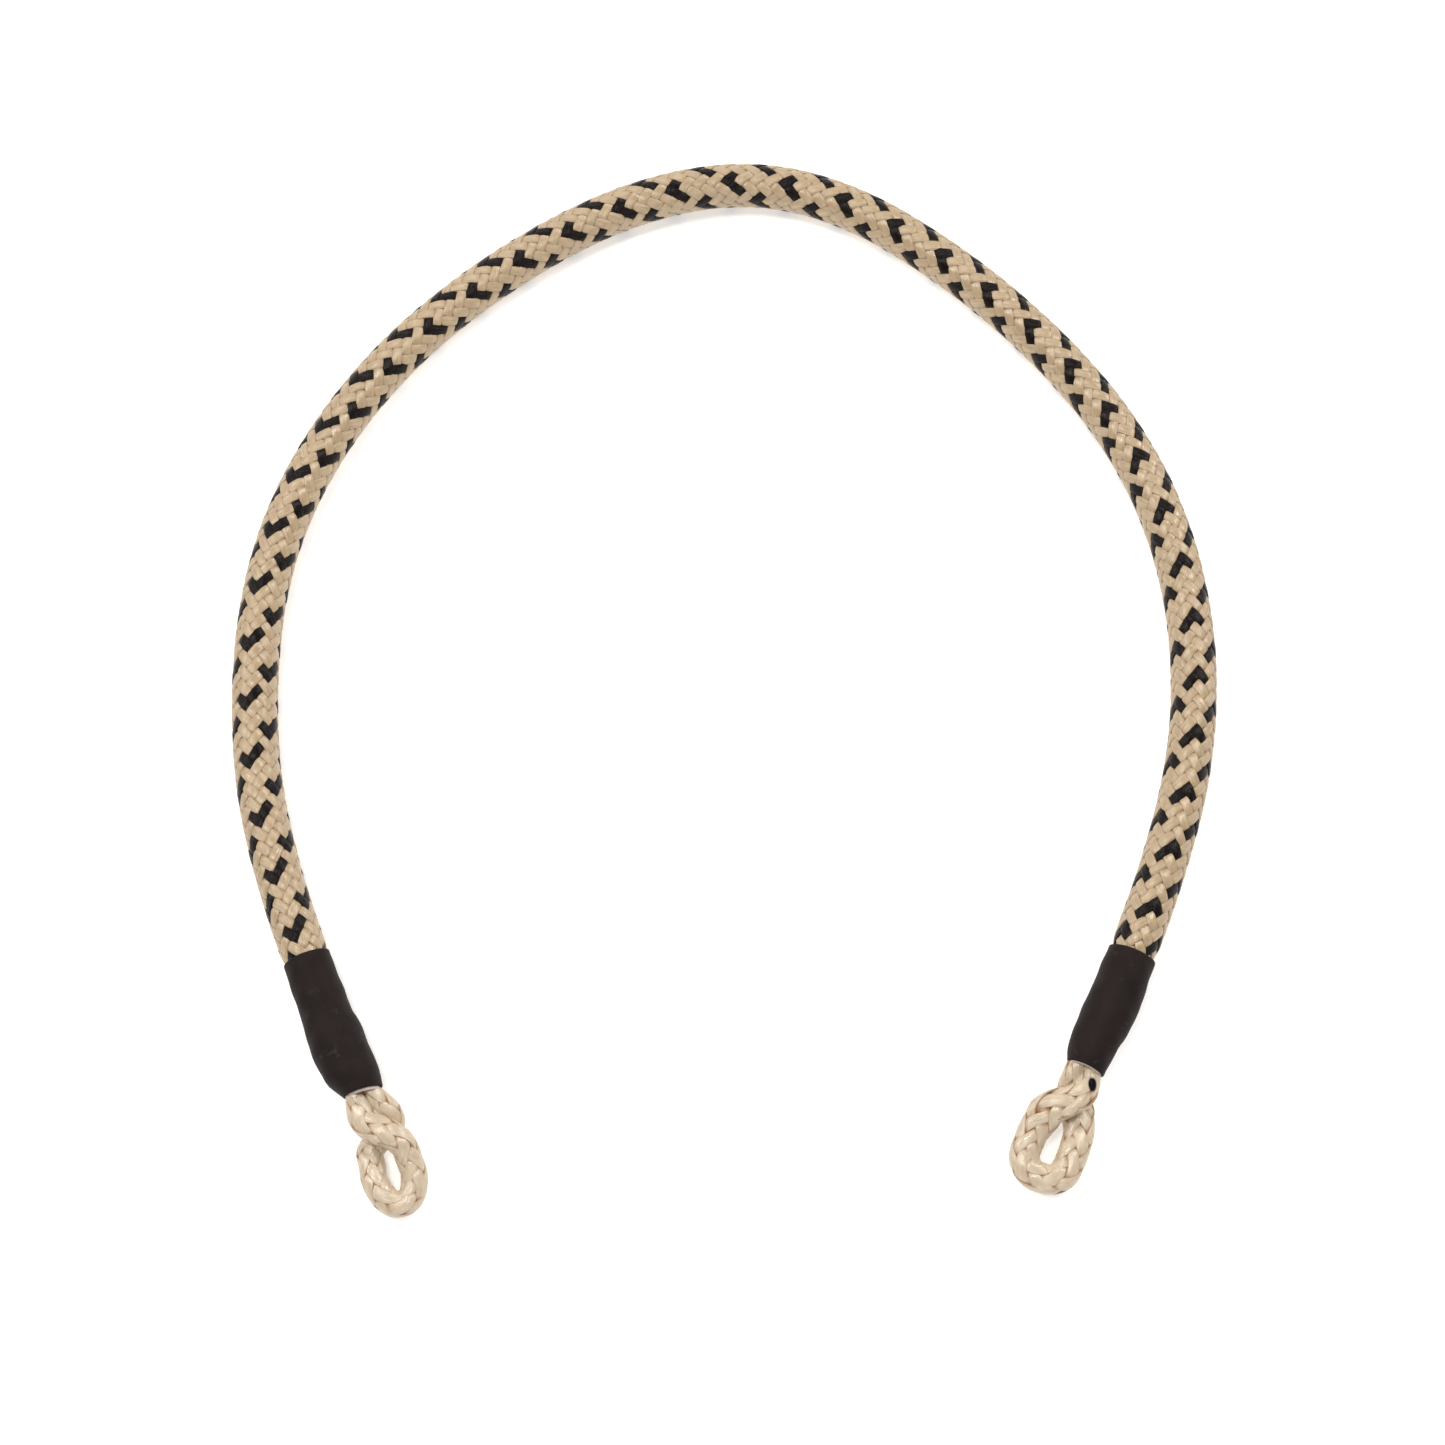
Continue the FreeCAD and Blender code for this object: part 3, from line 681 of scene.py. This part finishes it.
# Each eye's cord, from inside the sleeve round the loop and back: along from the mouth, across
# towards +X, and height over the floor, in metres.
EYE_ROUTE = {
    "left": [(-0.0060, -0.0009, 0.0050), (-0.0010, -0.0012, 0.0050), (0.0022, -0.0016, 0.0052),
             (0.0054, -0.0015, 0.0054), (0.0097, 0.0030, 0.0052), (0.0130, 0.0032, 0.0030),
             (0.0168, 0.0028, 0.0023), (0.0193, 0.0009, 0.0022), (0.0194, -0.0015, 0.0022),
             (0.0174, -0.0030, 0.0022), (0.0142, -0.0036, 0.0022), (0.0113, -0.0029, 0.0021),
             (0.0087, -0.0026, 0.0018), (0.0068, 0.0036, 0.0029), (0.0018, 0.0016, 0.0048),
             (-0.0020, 0.0013, 0.0050), (-0.0060, 0.0009, 0.0050)],
    "right": [(-0.0060, 0.0009, 0.0046), (-0.0010, 0.0012, 0.0046), (0.0022, 0.0013, 0.0049),
              (0.0052, 0.0012, 0.0052), (0.0083, -0.0029, 0.0048), (0.0120, -0.0037, 0.0027),
              (0.0168, -0.0040, 0.0020), (0.0194, -0.0022, 0.0020), (0.0194, 0.0016, 0.0020),
              (0.0173, 0.0036, 0.0020), (0.0135, 0.0036, 0.0020), (0.0098, 0.0033, 0.0019),
              (0.0066, 0.0016, 0.0017), (0.0042, -0.0006, 0.0024), (0.0018, -0.0013, 0.0041),
              (-0.0010, -0.0014, 0.0045), (-0.0060, -0.0009, 0.0046)],
}
EYE_YAW = {"left": -67.0, "right": -114.0}  # direction on the floor, in degrees
EYE_WIDTH = {"left": 0.0045, "right": 0.0051}
EYE_THICKNESS = {"left": 0.0042, "right": 0.0039}
INK_PLACE, INK_HEIGHT, INK_RADIUS = (0.0026, 0.0020), 0.0063, 0.0009

# By share of the cord's length: its pitch, its lean in degrees, and its share of the full width and
# of the full thickness.
EYE_PITCH = [(0.0, 0.0046), (0.25, 0.0046), (0.4, 0.0037), (0.6, 0.0037), (0.75, 0.0042), (1.0, 0.0046)]
EYE_LEAN = [(0.0, 0), (0.4, 0), (0.6, 60), (1.0, 60)]
EYE_BREADTH = {"left": [(0.08, 0.60), (0.11, 0.70), (0.15, 0.98), (0.19, 1.15), (0.24, 1.12), (0.30, 1.0),
                        (0.76, 1.0), (0.84, 0.95), (0.89, 0.68), (0.92, 0.60)],
               "right": [(0.08, 0.56), (0.11, 0.66), (0.16, 0.88), (0.26, 1.1), (0.30, 1.2), (0.36, 1.02),
                         (0.70, 1.0), (0.76, 1.12), (0.84, 0.88), (0.89, 0.68), (0.92, 0.58)]}
EYE_DEPTH = [(0.08, 0.85), (0.12, 0.92), (0.19, 0.78), (0.27, 0.80), (0.34, 1.0), (0.66, 1.0), (0.73, 0.80),
             (0.81, 0.78), (0.88, 0.92), (0.92, 0.85)]


class NOSEBAND_OT_eyes(bpy.types.Operator):
    """Builds the two eyes from the core's braided cord"""
    bl_idname = "noseband.eyes"
    bl_label = "Cord Eyes"

    def execute(self, context):
        made = context.scene.noseband_eye
        rope = rope_line()
        ends = {"left": (rope.points[0], rope.points[0] - rope.points[STRAIGHT_POINTS]),
                "right": (rope.points[-1], rope.points[-1] - rope.points[-1 - STRAIGHT_POINTS])}
        for side, (mouth, away) in ends.items():
            yaw = math.radians(EYE_YAW[side])
            ahead = np.array([math.cos(yaw), math.sin(yaw), 0])
            across = np.array([-math.sin(yaw), math.cos(yaw), 0])
            base = np.array([mouth[0], mouth[1], 0])
            line = Line(f"{side}_eye_route", [base + ahead * along + across * aside + np.array([0, 0, height])
                                              for along, aside, height in EYE_ROUTE[side]])
            look = self.look(side, line, made)
            places = np.linspace(0.0005, line.length - 0.0005, 300)
            numbers = list(range(made.carriers))
            ink = None
            if side == "right":
                spot = base + ahead * INK_PLACE[0] + across * INK_PLACE[1] + np.array([0, 0, INK_HEIGHT])
                ink = (tuple(spot), INK_RADIUS, tuple(made.ink))
            # The second colour is the painted shade where the eye's threads dip and meet.
            silk = yarn(f"undyed_polyester_yarn_{side}", made.colour, linear("986A3A"), gloss=0.30,
                        shine=1.0, contrast=0.2, relief=0.00014, filament=0.00019, sheen=0.05, ink=ink)
            piece = braid(f"{side}_eye_cord", line, places, [("left", numbers), ("right", numbers)], look)
            finish_piece(piece, silk, "core_braid", f"{side}_eye")
            # A dark brown tube inside each eye, darker than the undyed yarn, stands for the shade deep in the
            # braid: painted shade.
            inset = made.thickness * 1.7
            core = tube(f"{side}_eye_inside_painted_shade", line, places[::2],
                        lambda s: look["half_across"](s) - inset,
                        lambda s: look["half_up"](s) - inset, columns=16)
            finish_piece(core, matt(f"{side}_core_inside_painted_shade", linear("8A6A3C")), "core_braid")
            away = away / np.linalg.norm(away)
            for part in (piece, core):
                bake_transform(part)
        return {"FINISHED"}

    @staticmethod
    def look(side, line, made):
        """Sizes and functions of one eye's braid.

        The crossings are twice the integral of 1 / pitch along the cord, counted from its middle.
        """
        middle = line.length / 2
        every = np.linspace(0, line.length, 400)
        rate = 2 / eased(every / line.length, EYE_PITCH, 0.06)
        counted = np.r_[0, np.cumsum((rate[1:] + rate[:-1]) / 2 * np.diff(every))]
        counted -= np.interp(middle, every, counted)

        def half(size, table):
            """Half of a size as a function of the place, from the table of its shares."""
            return lambda s: size / 2 * eased(s / line.length, table, 0.04)

        return {"carriers": made.carriers, "width": made.width, "thickness": made.thickness,
                "crossings": lambda s: np.interp(s, every, counted),
                "lean": lambda s: np.radians(eased(s / line.length, EYE_LEAN, 0.08)),
                "half_across": half(EYE_WIDTH[side], EYE_BREADTH[side]),
                "half_up": half(EYE_THICKNESS[side], EYE_DEPTH),
                "rise": 0.42, "softness": 0.3, "spread": 0.06, "wander": 0.00006, "seed": 11,
                "columns": 16}


class NOSEBAND_OT_splice(bpy.types.Operator):
    """Finishes the buried tails, the whippings and the stitches, which stay as their CAD solids"""
    bl_idname = "noseband.splice"
    bl_label = "Hidden Splice"

    def execute(self, context):
        thread = waxed_twine("waxed_polyester_twine", linear("B9AC92"))
        for side in SLEEVE_SHAPE:
            for part in ("tail", "whipping", "stitches"):
                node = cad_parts[f"{side}_{part}"]
                node.data.materials.clear()
                node.data.materials.append(thread)
        return {"FINISHED"}


# Softboxes: name, place in metres, size in metres and power in watts.
SOFTBOXES = (("left_softbox", (-0.95, 0.25, 0.85), 0.5, 5.0),
             ("right_softbox", (0.85, 0.55, 0.85), 0.4, 7.5),
             ("back_softbox", (-0.25, 1.05, 0.75), 0.5, 3.6),
             ("front_softbox", (0.1, -1.0, 0.6), 0.6, 3.0),
             ("top_softbox", (-0.25, 0.10, 1.15), 0.3, 5.2))
AIM = (-0.0003, -0.0123, 0.004)  # the camera's target: across and along from the middle, and its height


class NOSEBAND_OT_stage(bpy.types.Operator):
    """Makes the floor, the lights and the camera"""
    bl_idname = "noseband.stage"
    bl_label = "Stage"

    def execute(self, context):
        made = context.scene.noseband_stage
        scene = context.scene
        bpy.ops.mesh.primitive_plane_add(size=6)
        floor = context.object
        floor.name = "floor"
        floor.data.materials.append(matt("light_table", tuple(made.floor), grain=0.02, glow=made.glow))

        world = bpy.data.worlds.new("dim_room")
        world.use_nodes = True
        background = world.node_tree.nodes["Background"]
        background.inputs["Color"].default_value = (1, 1, 1, 1)
        background.inputs["Strength"].default_value = made.room
        scene.world = world
        for name, place, size, power in SOFTBOXES:
            data = bpy.data.lights.new(name, "AREA")
            data.size = size
            data.energy = power
            data.color = made.warmth
            light = bpy.data.objects.new(name, data)
            scene.collection.objects.link(light)
            light.location = place
            light.rotation_euler = (-light.location).to_track_quat("-Z", "Y").to_euler()

        low, high = (np.array(corner) for corner in CAD_BOX)
        target = np.array([(low[0] + high[0]) / 2 + AIM[0], (low[1] + high[1]) / 2 + AIM[1], AIM[2]])
        data = bpy.data.cameras.new("camera")
        data.sensor_width = 36
        data.lens = made.lens
        camera = bpy.data.objects.new("camera", data)
        scene.collection.objects.link(camera)
        camera.location = target + made.distance * np.array([0, -math.sin(made.tilt), math.cos(made.tilt)])
        camera.rotation_euler = (made.tilt, 0, 0)
        scene.camera = camera
        scene.view_settings.view_transform = "Standard"
        return {"FINISHED"}


class NOSEBAND_PT_panel(bpy.types.Panel):
    """Lists the pieces and their settings"""
    bl_idname = "NOSEBAND_PT_panel"
    bl_label = "Rope Noseband"
    bl_space_type = "VIEW_3D"
    bl_region_type = "UI"
    bl_category = "Noseband"

    def draw(self, context):
        for operator in OPERATORS:
            self.layout.operator(operator.bl_idname)
        for group in SETTINGS:
            box = self.layout.box()
            owner = getattr(context.scene, group)
            for name in SETTINGS[group].__annotations__:
                box.prop(owner, name)


SETTINGS = {"noseband_cover": CoverSettings, "noseband_eye": EyeSettings,
            "noseband_sleeve": SleeveSettings, "noseband_stage": StageSettings}
OPERATORS = (NOSEBAND_OT_stage, NOSEBAND_OT_cover, NOSEBAND_OT_eyes, NOSEBAND_OT_sleeves,
             NOSEBAND_OT_splice)


def register():
    """Registers the settings, the operators and the panel."""
    for group, kind in SETTINGS.items():
        bpy.utils.register_class(kind)
        setattr(bpy.types.Scene, group, PointerProperty(type=kind))
    for kind in (*OPERATORS, NOSEBAND_PT_panel):
        bpy.utils.register_class(kind)


def unregister():
    """Takes back what register did."""
    for kind in (NOSEBAND_PT_panel, *reversed(OPERATORS)):
        bpy.utils.unregister_class(kind)
    for group, kind in reversed(SETTINGS.items()):
        delattr(bpy.types.Scene, group)
        bpy.utils.unregister_class(kind)


def main():
    """Builds every piece."""
    register()
    bpy.ops.noseband.stage()
    bpy.ops.noseband.cover()
    bpy.ops.noseband.eyes()
    bpy.ops.noseband.sleeves()
    bpy.ops.noseband.splice()


if __name__ == "__main__":
    main()
